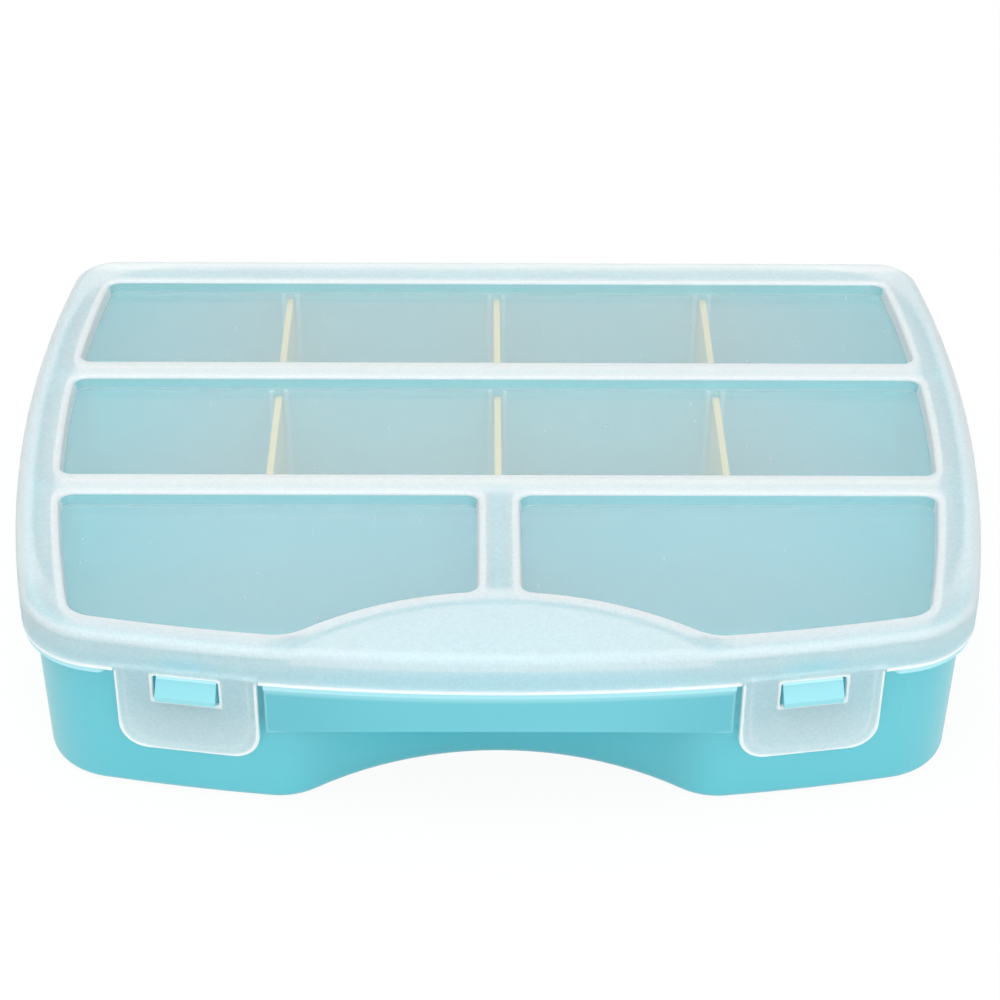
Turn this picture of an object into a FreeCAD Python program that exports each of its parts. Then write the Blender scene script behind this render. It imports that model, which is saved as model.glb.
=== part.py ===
"""Compartment storage box: a tray with a grip, a see-through lid, two latch tabs and six dividers.

Millimetres, +Z up. The origin is under the middle of the box, +X is to the right and -Y is the front.
"""
import FreeCAD, Part
import os
import re
from collections import namedtuple

import Sketcher

# Lengths in millimetres and angles in degrees. Places "from the back" start at the lid's back edge.
SIZES = {
    # The lid's outline, which every other outline follows at an inset.
    "lid_width": 290,
    "lid_depth": 213,
    "box_height": 58,
    "side_radius": 494,
    "widest_from_back": 78,
    "front_radius": 553,
    "lid_back_corner": 14,
    "lid_front_corner": 26,
    # The lid's shell, its skirt and its sunk windows.
    "lid_wall": 1.6,
    "skirt_height": 12.3,
    "back_skirt_clearance": 0.9,
    "back_skirt_end": 27,
    "lid_edge_round": 3.5,
    "window_depth": 4.5,
    "window_draft": 8,
    "window_back_border": 15,
    "window_side_border": 12.5,
    "window_wall_clearance": 0.9,
    "front_row_depth": 77.3,
    "back_rib_width": 9,
    "front_rib_width": 9.7,
    "back_window_share": 0.483,
    "centre_rib_width": 11.8,
    "window_corner": 4,
    "window_front_corner": 9,
    "window_knee": 14,
    "window_edge_round": 1,
    # The tray's walls and floor.
    "tray_gap": 3.4,
    "tray_back_gap": 8.5,
    "tray_drop": 2.4,
    "tray_draft": 1.2,
    "tray_wall": 1.8,
    "partition_wall": 1.8,
    "floor_thickness": 2,
    "tray_back_corner": 9,
    "tray_front_corner": 23,
    "bottom_round": 3,
    "compartment_corner": 5,
    "floor_round": 2.5,
    # The hand recess in the front wall, behind the grip.
    "recess_depth": 26.5,
    "recess_end_inset": 1.1,
    "recess_knee": 20,
    "recess_lid_clearance": 0.7,
    # The rim lip under the skirt, and the grip that hangs from it.
    "lip_inset": 0.4,
    "lip_thickness": 1.5,
    "lip_clearance": 0.3,
    "lip_end_from_latch": 2.4,
    "lip_end_round": 2,
    "grip_from_latch": 1.5,
    "grip_wall": 2.4,
    "grip_height": 16.7,
    "grip_arch": 3.6,
    "grip_edge_round": 0.8,
    # The pairs of ribs that hold the dividers.
    "row_end_curve": 1.8,
    "divider_thickness": 2,
    "divider_slot": 3.2,
    "divider_headroom": 2.9,
    "divider_end_clearance": 0.5,
    "divider_floor_clearance": 0.3,
    "divider_top_corner": 2.5,
    "divider_foot_corner": 5,
    "rib_width": 1.4,
    "rib_depth": 2,
    "rib_headroom": 1.5,
    # The latch tabs on the lid and the hooks on the tray.
    "latch_from_side": 58.8,
    "latch_width": 40,
    "latch_length": 28,
    "latch_corner": 8,
    "latch_rise": 1.5,
    "latch_clearance": 0.4,
    "latch_edge_round": 0.4,
    "catch_width": 18.6,
    "catch_height": 8.6,
    "catch_drop": 1.6,
    "catch_corner": 1.2,
    "hook_side_clearance": 0.8,
    "hook_foot_clearance": 0.8,
    "hook_reach": 1.5,
    "hook_nose": 1.5,
    "hook_height": 7.2,
    "hook_ledge": 1.2,
    # The two snap hinges at the back.
    "hinge_from_side": 65,
    "hinge_from_back": 3.2,
    "hinge_drop": 10.8,
    "pin_radius": 1.6,
    "pin_clearance": 0.06,
    "knuckle_width": 10,
    "knuckle_mouth": 2.6,
    "ear_width": 3,
    "ear_radius": 2.9,
    "ear_clearance": 0.4,
    # How far a cut runs past what it cuts.
    "overrun": 2,
}

doc = FreeCAD.newDocument("storage_box")
sheet = doc.addObject("Spreadsheet::Sheet", "Sizes")
for row, (alias, size) in enumerate(SIZES.items(), start=1):
    sheet.set(f"A{row}", alias)
    sheet.set(f"B{row}", str(size))
    sheet.setAlias(f"B{row}", alias)
doc.recompute()

# Heights above the table, as expressions on the sheet.
SKIRT_BOTTOM = "(box_height - skirt_height)"
LIP_TOP = "(box_height - skirt_height - lip_clearance)"
TRAY_TOP = "(box_height - tray_drop)"
FRAME_UNDERSIDE = "(box_height - lid_wall)"
PANEL_UNDERSIDE = "(box_height - window_depth - lid_wall)"
HINGE_HEIGHT = "(box_height - hinge_drop)"
FOLD_HEIGHT = "(box_height - skirt_height + latch_rise)"
DIVIDER_TOP = f"({PANEL_UNDERSIDE} - divider_headroom)"
RIB_TOP = f"({PANEL_UNDERSIDE} - rib_headroom)"

# Places along Y: the edges of the box, the hinge, and the partitions under the lid's ribs.
BACK = "(lid_depth / 2)"
FRONT = "(-lid_depth / 2)"
TRAY_BACK = f"({BACK} - tray_back_gap)"
HINGE_Y = f"({BACK} - hinge_from_back)"
WINDOW_BORDERS = "(window_back_border + back_rib_width + front_rib_width + front_row_depth)"
WINDOW_LENGTHS = f"(lid_depth - {WINDOW_BORDERS})"
BACK_WINDOW_FRONT = f"({BACK} - window_back_border - back_window_share * {WINDOW_LENGTHS})"
MIDDLE_WINDOW_BACK = f"({BACK_WINDOW_FRONT} - back_rib_width)"
FRONT_WINDOW_BACK = f"({FRONT} + front_row_depth)"
MIDDLE_WINDOW_FRONT = f"({FRONT_WINDOW_BACK} + front_rib_width)"
BACK_PARTITION = f"({BACK_WINDOW_FRONT} - back_rib_width / 2)"
FRONT_PARTITION = f"({MIDDLE_WINDOW_FRONT} - front_rib_width / 2)"

# The two rows with dividers: their back and front faces at the tray's rim.
DIVIDED_ROWS = {
    "back": (f"{TRAY_BACK} - tray_wall", f"{BACK_PARTITION} + partition_wall / 2"),
    "middle": (f"{BACK_PARTITION} - partition_wall / 2", f"{FRONT_PARTITION} + partition_wall / 2"),
}


def front_face_at(x):
    """Where along Y the lid's bowed front face is, at a place across the box."""
    return f"({FRONT} + front_radius - sqrt(front_radius ^ 2 - {x} ^ 2))"


# The middle of each latch on the lid's bowed front, and the turn of the front there.
LATCH_X = "(lid_width / 2 - latch_from_side)"
LATCH_FACE_Y = front_face_at(LATCH_X)
LATCH_TURN = f"asin({LATCH_X} / front_radius)"

# Half the grip, which fills the front between the latches, and the hand recess behind it: its radius on the
# outer and inner faces of its wall, and on the front windows that stay clear of that wall.
GRIP_HALF = f"({LATCH_X} - latch_width / 2 - grip_from_latch)"
RECESS_HALF = f"({GRIP_HALF} - recess_end_inset)"
RECESS_RADIUS = f"(({RECESS_HALF} ^ 2 + recess_depth ^ 2) / (2 * recess_depth))"
RECESS_INNER = f"({RECESS_RADIUS} + tray_wall)"
RECESS_WINDOW = f"({RECESS_INNER} + recess_lid_clearance + lid_wall)"

# The step from one divider to the next, the middle of each hinge, and the skirt's height above the hinges.
DIVIDER_PITCH = "((lid_width / 2 - tray_gap - tray_wall - row_end_curve) / 2)"
HINGE_X = "(lid_width / 2 - hinge_from_side)"
BACK_SKIRT_HEIGHT = "(hinge_drop - ear_radius - back_skirt_clearance)"

# How close counts as the same place, and a turn that holds a sketch's axis until its own angle is set.
SAME_PLACE = 1e-4
STARTING_TURN = 1


def linked(text):
    """The expression with each size's name pointing at its cell."""
    return re.sub(r"[a-z_]+", lambda word: f"Sizes.{word[0]}" if word[0] in SIZES else word[0], text)


def value(text):
    """What an expression on the sheet comes to, as a plain number."""
    return float(sheet.evalExpression(linked(text)))


def origin_plane(body, role):
    """One of the body's own origin planes."""
    return next(plane for plane in body.Origin.OriginFeatures if plane.Role == role)


def new_body(name):
    """An empty body whose label is the sub-part's name."""
    body = doc.addObject("PartDesign::Body", name)
    body.Label = name
    return body


def new_sketch(body, name, role, offset="0", upright=None, **moves):
    """A sketch on an origin plane of the body, moved along the plane's normal.

    Where upright is given, the sketch is also moved in its plane, and turned about that axis of the plane.
    """
    sketch = body.newObject("Sketcher::SketchObject", name)
    sketch.AttachmentSupport = [(origin_plane(body, role), "")]
    sketch.MapMode = "FlatFace"
    sketch.setExpression("AttachmentOffset.Base.z", linked(offset))
    if upright:
        turned = FreeCAD.Rotation(upright, STARTING_TURN)
        sketch.AttachmentOffset = FreeCAD.Placement(FreeCAD.Vector(), turned)
        sketch.setExpression("AttachmentOffset.Rotation.Angle", linked(moves.pop("turn")))
        for axis, place in moves.items():
            sketch.setExpression(f"AttachmentOffset.Base.{axis}", linked(place))
    return sketch


def dimension(sketch, kind, expression, *places):
    """A constraint whose size is an expression on the sheet."""
    index = sketch.addConstraint(Sketcher.Constraint(kind, *places, value(expression)))
    name = f"size_{index}"
    sketch.renameConstraint(index, name)
    sketch.setExpression(f"Constraints.{name}", linked(expression))


def fix_point(sketch, item, end, x, y):
    """Holds one point of a sketch at a place given from the sketch's origin."""
    origin = (-1, 1)
    vertical_axis, horizontal_axis = -2, -1
    for kind, expression, axis in (("DistanceX", x, vertical_axis), ("DistanceY", y, horizontal_axis)):
        if expression == "0":
            sketch.addConstraint(Sketcher.Constraint("PointOnObject", item, end, axis))
        else:
            dimension(sketch, kind, expression, *origin, item, end)


# One edge of an outline that runs counterclockwise. "across" and "along" are lines that run along X and Y
# with the given heading, "bow" bulges out about its centre and "hollow" curves in round its centre.
Edge = namedtuple("Edge", "kind x y radius heading", defaults=("0", "0", "0", 1))


def offset_curve(edge, shift):
    """The whole line or circle of an edge, moved into the outline by a distance."""
    x, y, radius = value(edge.x), value(edge.y), value(edge.radius)
    inward = shift * edge.heading
    if edge.kind == "across":
        return Part.Line(FreeCAD.Vector(0, y + inward, 0), FreeCAD.Vector(1, y + inward, 0))
    if edge.kind == "along":
        return Part.Line(FreeCAD.Vector(x - inward, 0, 0), FreeCAD.Vector(x - inward, 1, 0))
    radius += shift if edge.kind == "hollow" else -shift
    return Part.Circle(FreeCAD.Vector(x, y, 0), FreeCAD.Vector(0, 0, 1), radius)


def foot(edge, point):
    """The place on an edge that is nearest to a point."""
    curve = offset_curve(edge, 0)
    return curve.value(curve.parameter(point))


def draw_outline(sketch, edges, corners):
    """A closed outline of edges in turn.

    Each edge has a corner after it: the corner's radius, which may be 0, and the side and end where it lies.
    """
    centres = []
    for index, (radius, side, end) in enumerate(corners):
        following = edges[(index + 1) % len(edges)]
        shift = value(radius)
        meetings = offset_curve(edges[index], shift).intersectCC(offset_curve(following, shift))
        rough = FreeCAD.Vector(side * value("lid_width / 2"), end * value(BACK), 0)
        points = [FreeCAD.Vector(meeting.X, meeting.Y, 0) for meeting in meetings]
        centres.append(min(points, key=rough.distanceToPoint))

    items, ends = [], []
    for index, edge in enumerate(edges):
        start = foot(edge, centres[index - 1])
        stop = foot(edge, centres[index])
        if edge.kind in ("across", "along"):
            item = sketch.addGeometry(Part.LineSegment(start, stop), False)
            level = edge.kind == "across"
            sketch.addConstraint(Sketcher.Constraint("Horizontal" if level else "Vertical", item))
            kind, place = ("DistanceY", edge.y) if level else ("DistanceX", edge.x)
            dimension(sketch, kind, place, -1, 1, item, 1)
        else:
            circle = offset_curve(edge, 0)
            first, last = (stop, start) if edge.kind == "hollow" else (start, stop)
            arc = Part.ArcOfCircle(circle, circle.parameter(first), circle.parameter(last))
            item = sketch.addGeometry(arc, False)
            fix_point(sketch, item, 3, edge.x, edge.y)
            dimension(sketch, "Radius", edge.radius, item)
        items.append(item)
        ends.append((2, 1) if edge.kind == "hollow" else (1, 2))

    for index, (radius, side, end) in enumerate(corners):
        following = (index + 1) % len(edges)
        if radius == "0":
            meeting = (items[index], ends[index][1], items[following], ends[following][0])
            sketch.addConstraint(Sketcher.Constraint("Coincident", *meeting))
            continue
        circle = Part.Circle(centres[index], FreeCAD.Vector(0, 0, 1), value(radius))
        first = circle.parameter(foot(edges[index], centres[index]))
        last = circle.parameter(foot(edges[following], centres[index]))
        corner = sketch.addGeometry(Part.ArcOfCircle(circle, first, last), False)
        dimension(sketch, "Radius", radius, corner)
        sketch.addConstraint(Sketcher.Constraint("Tangent", items[index], ends[index][1], corner, 1))
        sketch.addConstraint(Sketcher.Constraint("Tangent", corner, 2, items[following], ends[following][0]))


def draw_polygon(sketch, points):
    """A closed outline of straight lines through points given as expressions."""
    places = [FreeCAD.Vector(value(x), value(y), 0) for x, y in points]
    lines = []
    for place, following in zip(places, places[1:] + places[:1]):
        lines.append(sketch.addGeometry(Part.LineSegment(place, following), False))
    for line, following, (x, y) in zip(lines, lines[1:] + lines[:1], points):
        sketch.addConstraint(Sketcher.Constraint("Coincident", line, 2, following, 1))
        fix_point(sketch, line, 1, x, y)


def draw_circle(sketch, x, y, radius):
    """A circle about a place given as expressions."""
    circle = Part.Circle(FreeCAD.Vector(value(x), value(y), 0), FreeCAD.Vector(0, 0, 1), value(radius))
    item = sketch.addGeometry(circle, False)
    fix_point(sketch, item, 3, x, y)
    dimension(sketch, "Radius", radius, item)


def extrude(body, kind, name, sketch, length, draft=None, reverse=False, symmetric=False):
    """A pad or a pocket of a sketch, with the body's volume checked for the change it should bring."""
    before = body.Shape.Volume if body.Tip else 0
    feature = body.newObject(f"PartDesign::{kind}", name)
    feature.Profile = sketch
    feature.setExpression("Length", linked(length))
    feature.Reversed = reverse
    if symmetric:
        feature.SideType = "Symmetric"
    if draft:
        feature.setExpression("TaperAngle", linked(draft))
    doc.recompute()
    gained = body.Shape.Volume - before
    if (gained > 0) != (kind == "Pad"):
        raise ValueError(f"{name} changes the volume of {body.Label} by {gained}")
    return feature


def round_edges(body, name, radius, chosen):
    """A fillet on the edges of the body that a test chooses."""
    base = body.Tip
    names = [f"Edge{index}" for index, edge in enumerate(base.Shape.Edges, start=1) if chosen(edge.BoundBox)]
    feature = body.newObject("PartDesign::Fillet", name)
    feature.Base = (base, names)
    feature.setExpression("Radius", linked(radius))
    doc.recompute()
    return feature


def repeat(body, kind, name, originals, **settings):
    """A mirror image or a row of features, set as the body's tip."""
    feature = body.newObject(f"PartDesign::{kind}", name)
    feature.Originals = originals
    for setting, content in settings.items():
        setattr(feature, setting, content)
    body.Tip = feature
    doc.recompute()
    return feature


def mirror_across(body, name, originals):
    """The same features on the other side of the box."""
    return repeat(body, "Mirrored", name, originals, MirrorPlane=(origin_plane(body, "YZ_Plane"), [""]))


def level_at(height):
    """A test for edges that lie flat at a height."""
    level = value(height)
    return lambda box: abs(box.ZMin - level) < SAME_PLACE and abs(box.ZMax - level) < SAME_PLACE


def front_bow(inset):
    """The bowed front of the box at an inset."""
    return Edge("bow", "0", f"front_radius + {FRONT}", f"front_radius - ({inset})")


def side_bow(side, inset):
    """The bowed left (-1) or right (1) side of the box at an inset."""
    centre_x = "lid_width / 2 - side_radius" if side > 0 else "side_radius - lid_width / 2"
    return Edge("bow", centre_x, f"{BACK} - widest_from_back", f"side_radius - ({inset})")


def recess_hollow(radius):
    """The hand recess's curve, about its centre in front of the box."""
    return Edge("hollow", "0", f"{FRONT} + recess_depth - {RECESS_RADIUS}", radius)


def box_outline(inset, back, front_corner, back_corner):
    """The plan of the whole box at an inset, with its back line and its corner radii."""
    edges = [front_bow(inset), side_bow(1, inset), Edge("across", y=back, heading=-1), side_bow(-1, inset)]
    corners = [(front_corner, 1, -1), (back_corner, 1, 1), (back_corner, -1, 1), (front_corner, -1, -1)]
    return edges, corners


def even_corners(radius):
    """The corners of a plan with four edges, from the front right one on, all with one radius."""
    return [(radius, 1, -1), (radius, 1, 1), (radius, -1, 1), (radius, -1, -1)]


def row_outline(inset, back, front, corner):
    """The plan of a row across the box, between a back and a front line."""
    front_line, back_line = Edge("across", y=front), Edge("across", y=back, heading=-1)
    edges = [front_line, side_bow(1, inset), back_line, side_bow(-1, inset)]
    return edges, even_corners(corner)


def front_half_outline(side_inset, front_inset, back, middle, recess, corner, knee, front_corner):
    """The plan of the right half of the front row, beside the middle and behind the recess."""
    edges = [Edge("along", x=middle, heading=-1), recess_hollow(recess), front_bow(front_inset)]
    edges += [side_bow(1, side_inset), Edge("across", y=back, heading=-1)]
    corners = [(corner, 0, -1), (knee, 1, -1), (front_corner, 1, -1), (corner, 1, 1), (corner, 0, 1)]
    return edges, corners


def draw_rectangle(sketch, left, right, low, high):
    """An upright rectangle between two places across and two places up."""
    draw_polygon(sketch, [(left, low), (right, low), (right, high), (left, high)])


def make_lip(body):
    """The rim lip under the lid's skirt, open at the latches, and broad where it roofs the hand recess."""
    lip = new_sketch(body, "lip_plan", "XY_Plane", LIP_TOP)
    front_corner = "lid_front_corner - lip_inset"
    draw_outline(lip, *box_outline("lip_inset", TRAY_BACK, front_corner, "tray_back_corner"))
    extrude(body, "Pad", "lip", lip, "lip_thickness", reverse=True)

    gap_end = f"({LATCH_X} + latch_width / 2 + lip_end_from_latch)"
    gap_back = f"{front_face_at(gap_end)} + tray_gap + tray_wall"
    gap = new_sketch(body, "latch_gap_plan", "XY_Plane", LIP_TOP)
    draw_rectangle(gap, GRIP_HALF, gap_end, f"{FRONT} - overrun", gap_back)
    latch_gap = extrude(body, "Pocket", "latch_gap", gap, "lip_thickness + overrun")
    mirror_across(body, "latch_gaps", [latch_gap])

    def lip_end(box):
        upright = box.XLength + box.YLength < SAME_PLACE
        at_gap_end = abs(abs(box.XMin) - value(gap_end)) < SAME_PLACE
        return upright and at_gap_end and box.YMax < value(gap_back) - SAME_PLACE

    round_edges(body, "lip_ends", "lip_end_round", lip_end)


def make_tray_shell(body):
    """The tapered outer wall with its hand recess, and the four compartment rows cut into it."""
    wall = new_sketch(body, "wall_plan", "XY_Plane", TRAY_TOP)
    edges, corners = box_outline("tray_gap", TRAY_BACK, "tray_front_corner", "tray_back_corner")
    edges = [front_bow("tray_gap"), recess_hollow(RECESS_RADIUS)] + edges
    corners = [("recess_knee", -1, -1), ("recess_knee", 1, -1)] + corners
    draw_outline(wall, edges, corners)
    extrude(body, "Pad", "wall", wall, TRAY_TOP, draft="-tray_draft", reverse=True)
    round_edges(body, "bottom_edge", "bottom_round", level_at("0"))

    inset = "tray_gap + tray_wall"
    depth = f"{TRAY_TOP} - floor_thickness"
    for row, (back, front) in DIVIDED_ROWS.items():
        plan = new_sketch(body, f"{row}_row_plan", "XY_Plane", TRAY_TOP)
        draw_outline(plan, *row_outline(inset, back, front, "compartment_corner"))
        extrude(body, "Pocket", f"{row}_row", plan, depth, draft="-tray_draft")
    plan = new_sketch(body, "front_compartment_plan", "XY_Plane", TRAY_TOP)
    back, middle = f"{FRONT_PARTITION} - partition_wall / 2", "partition_wall / 2"
    rounds = ("compartment_corner", "recess_knee - tray_wall", "tray_front_corner - tray_wall")
    draw_outline(plan, *front_half_outline(inset, inset, back, middle, RECESS_INNER, *rounds))
    right = extrude(body, "Pocket", "front_compartment", plan, depth, draft="-tray_draft")
    mirror_across(body, "front_compartments", [right])
    round_edges(body, "floor_edges", "floor_round", level_at("floor_thickness"))


def make_divider_ribs(body):
    """The pairs of upright ribs on the walls of the two back rows, in three stations."""
    from_partition = "(partition_wall / 2 + rib_depth)"
    spans = [
        (f"{TRAY_BACK} - tray_wall - rib_depth", f"{TRAY_BACK} - tray_wall / 2"),
        (f"{BACK_PARTITION} - {from_partition}", f"{BACK_PARTITION} + {from_partition}"),
        (FRONT_PARTITION, f"{FRONT_PARTITION} + {from_partition}"),
    ]
    plan = new_sketch(body, "rib_plan", "XY_Plane", "floor_thickness")
    for low, high in spans:
        for near, far in (("divider_slot / 2", "divider_slot / 2 + rib_width"),
                          ("-divider_slot / 2 - rib_width", "-divider_slot / 2")):
            draw_rectangle(plan, f"{near} - {DIVIDER_PITCH}", f"{far} - {DIVIDER_PITCH}", low, high)
    ribs = extrude(body, "Pad", "rib_pairs", plan, f"{RIB_TOP} - floor_thickness")
    across = next(axis for axis in body.Origin.OriginFeatures if axis.Role == "X_Axis")
    stations = repeat(body, "LinearPattern", "rib_stations", [ribs], Direction=(across, [""]), Occurrences=3)
    stations.setExpression("Length", linked(f"2 * {DIVIDER_PITCH}"))
    doc.recompute()


def make_hooks(body):
    """The wedges that the latch tabs catch on: a long slope above and a flat ledge below."""
    plane_up = FreeCAD.Vector(0, 1, 0)
    hook = new_sketch(body, "hook_section", "YZ_Plane", LATCH_X, plane_up, turn=LATCH_TURN, x=LATCH_FACE_Y)
    foot_height = f"({FOLD_HEIGHT} - catch_drop - catch_height + hook_foot_clearance)"
    root = "tray_gap + tray_wall / 2"
    points = [
        (root, foot_height),
        ("-hook_reach", foot_height),
        ("-hook_reach", f"{foot_height} + hook_nose"),
        ("tray_gap - hook_ledge", f"{foot_height} + hook_height"),
        (root, f"{foot_height} + hook_height"),
    ]
    draw_polygon(hook, points)
    right = extrude(body, "Pad", "hook", hook, "catch_width - 2 * hook_side_clearance", symmetric=True)
    mirror_across(body, "hooks", [right])


def make_hinge_ears(body):
    """Two pairs of ears on the back wall, each with a moulded pin for the lid's knuckle."""
    inner_width = "(knuckle_width + 2 * ear_clearance)"
    outer_width = f"{inner_width} + 2 * ear_width"
    low, high = f"{HINGE_HEIGHT} - ear_radius", f"{HINGE_HEIGHT} + ear_radius"
    features = []
    block = new_sketch(body, "ear_block_section", "YZ_Plane", HINGE_X)
    draw_rectangle(block, f"{TRAY_BACK} - tray_wall / 2", HINGE_Y, low, high)
    features.append(extrude(body, "Pad", "ear_block", block, outer_width, symmetric=True))
    end = new_sketch(body, "ear_end_section", "YZ_Plane", HINGE_X)
    draw_circle(end, HINGE_Y, HINGE_HEIGHT, "ear_radius")
    features.append(extrude(body, "Pad", "ear_end", end, outer_width, symmetric=True))
    gap = new_sketch(body, "ear_gap_section", "YZ_Plane", HINGE_X)
    draw_rectangle(gap, TRAY_BACK, f"{BACK} + overrun", f"{low} - overrun", f"{high} + overrun")
    features.append(extrude(body, "Pocket", "ear_gap", gap, inner_width, symmetric=True))
    pin = new_sketch(body, "pin_section", "YZ_Plane", HINGE_X)
    draw_circle(pin, HINGE_Y, HINGE_HEIGHT, "pin_radius")
    features.append(extrude(body, "Pad", "pin", pin, f"{inner_width} + ear_width", symmetric=True))
    mirror_across(body, "hinge_ears", features)


def make_tray():
    """The moulded tray: the lip first, then the shell, the ribs, the hooks and the hinge ears."""
    body = new_body("tray")
    make_lip(body)
    make_tray_shell(body)
    make_divider_ribs(body)
    make_hooks(body)
    make_hinge_ears(body)
    return body


def make_grip():
    """The arched grip under the front of the lip, moulded in one with the tray."""
    body = new_body("grip")
    plan = new_sketch(body, "grip_plan", "XY_Plane", f"{LIP_TOP} - lip_thickness")
    inner_face = Edge("hollow", "0", f"front_radius + {FRONT}", "front_radius - lip_inset - grip_wall")
    edges = [front_bow("lip_inset"), Edge("along", x=GRIP_HALF), inner_face]
    edges.append(Edge("along", x=f"-{GRIP_HALF}", heading=-1))
    draw_outline(plan, edges, [("grip_edge_round", side, -1) for side in (1, 1, -1, -1)])
    extrude(body, "Pad", "panel", plan, "grip_height - lip_thickness", reverse=True)

    arch_radius = f"({GRIP_HALF} ^ 2 + grip_arch ^ 2) / (2 * grip_arch)"
    arch = new_sketch(body, "arch_section", "XZ_Plane", "lid_depth / 2 + overrun")
    draw_circle(arch, "0", f"{LIP_TOP} - grip_height + grip_arch - {arch_radius}", arch_radius)
    panel_depth = f"lid_depth / 2 + {front_face_at(GRIP_HALF)} + lip_inset + grip_wall"
    extrude(body, "Pocket", "arch", arch, f"overrun + {panel_depth}")
    return body


def window_plans(growth):
    """The plans of the back, middle and front right windows, grown outwards by a distance."""
    side = f"window_side_border - ({growth})"
    front = f"tray_gap + tray_wall + window_wall_clearance + lid_wall - ({growth})"
    corner = f"window_corner + ({growth})"
    back_window = row_outline(
        side, f"{BACK} - window_back_border + ({growth})", f"{BACK_WINDOW_FRONT} - ({growth})", corner)
    middle_window = row_outline(
        side, f"{MIDDLE_WINDOW_BACK} + ({growth})", f"{MIDDLE_WINDOW_FRONT} - ({growth})", corner)
    rounds = (corner, f"window_knee + ({growth})", f"window_front_corner + ({growth})")
    front_window = front_half_outline(
        side, front, f"{FRONT_WINDOW_BACK} + ({growth})", f"centre_rib_width / 2 - ({growth})",
        f"{RECESS_WINDOW} - ({growth})", *rounds)
    return {"back_window": back_window, "middle_window": middle_window, "front_window": front_window}


def make_lid_shell(body):
    """The lid's shell: a rounded cover with a skirt, and a sunk tub for each window."""
    outline = new_sketch(body, "lid_plan", "XY_Plane", SKIRT_BOTTOM)
    draw_outline(outline, *box_outline("0", BACK, "lid_front_corner", "lid_back_corner"))
    extrude(body, "Pad", "lid_block", outline, "skirt_height")
    round_edges(body, "lid_edge", "lid_edge_round", level_at("box_height"))
    cavity = new_sketch(body, "cavity_plan", "XY_Plane", SKIRT_BOTTOM)
    inner_corners = ("lid_front_corner - lid_wall", "lid_back_corner - lid_wall")
    draw_outline(cavity, *box_outline("lid_wall", f"{BACK} - lid_wall", *inner_corners))
    extrude(body, "Pocket", "cavity", cavity, "skirt_height - lid_wall", reverse=True)
    round_edges(body, "cavity_edge", "lid_edge_round - lid_wall", level_at(FRAME_UNDERSIDE))

    tubs = window_plans("lid_wall")
    for name, plan in tubs.items():
        sketch = new_sketch(body, f"{name}_tub_plan", "XY_Plane", FRAME_UNDERSIDE)
        draw_outline(sketch, *plan)
        tub = extrude(body, "Pad", f"{name}_tub", sketch, "window_depth", draft="-window_draft", reverse=True)
    mirror_across(body, "front_window_tubs", [tub])
    for name, plan in window_plans("0").items():
        sketch = new_sketch(body, f"{name}_plan", "XY_Plane", "box_height")
        draw_outline(sketch, *plan)
        window = extrude(body, "Pocket", name, sketch, "window_depth", draft="-window_draft")
    mirror_across(body, "front_windows", [window])

    half_width, half_depth = value("lid_width / 2 - lid_edge_round"), value("lid_depth / 2 - lid_edge_round")

    def window_rim(box):
        inside_width = box.XMax < half_width - SAME_PLACE
        inside_depth = box.YMin > SAME_PLACE - half_depth and box.YMax < half_depth - SAME_PLACE
        return inside_width and inside_depth and level_at("box_height")(box)

    round_edges(body, "window_rims", "window_edge_round", window_rim)


def make_skirt_cuts(body):
    """The skirt is cut shorter along the back, over the hinges, and notched where each latch folds."""
    back_cut = new_sketch(body, "back_cut_plan", "XY_Plane", SKIRT_BOTTOM)
    half_width = "(lid_width / 2 - back_skirt_end)"
    inner_face = f"{BACK} - lid_wall"
    draw_rectangle(back_cut, f"-{half_width}", half_width, f"{inner_face} - overrun", f"{BACK} + overrun")
    extrude(body, "Pocket", "back_cut", back_cut, f"skirt_height - {BACK_SKIRT_HEIGHT}", reverse=True)

    plane_normal = FreeCAD.Vector(0, 0, 1)
    moves = {"turn": LATCH_TURN, "x": LATCH_X, "y": LATCH_FACE_Y}
    notch = new_sketch(body, "latch_notch_plan", "XY_Plane", SKIRT_BOTTOM, plane_normal, **moves)
    half_notch = "(latch_width / 2 + latch_clearance)"
    draw_rectangle(notch, f"-{half_notch}", half_notch, "-overrun", "lid_wall + overrun")
    notch_height = "latch_rise + lid_wall / 2 + latch_clearance"
    right = extrude(body, "Pocket", "latch_notch", notch, notch_height, reverse=True)
    mirror_across(body, "latch_notches", [right])


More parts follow.
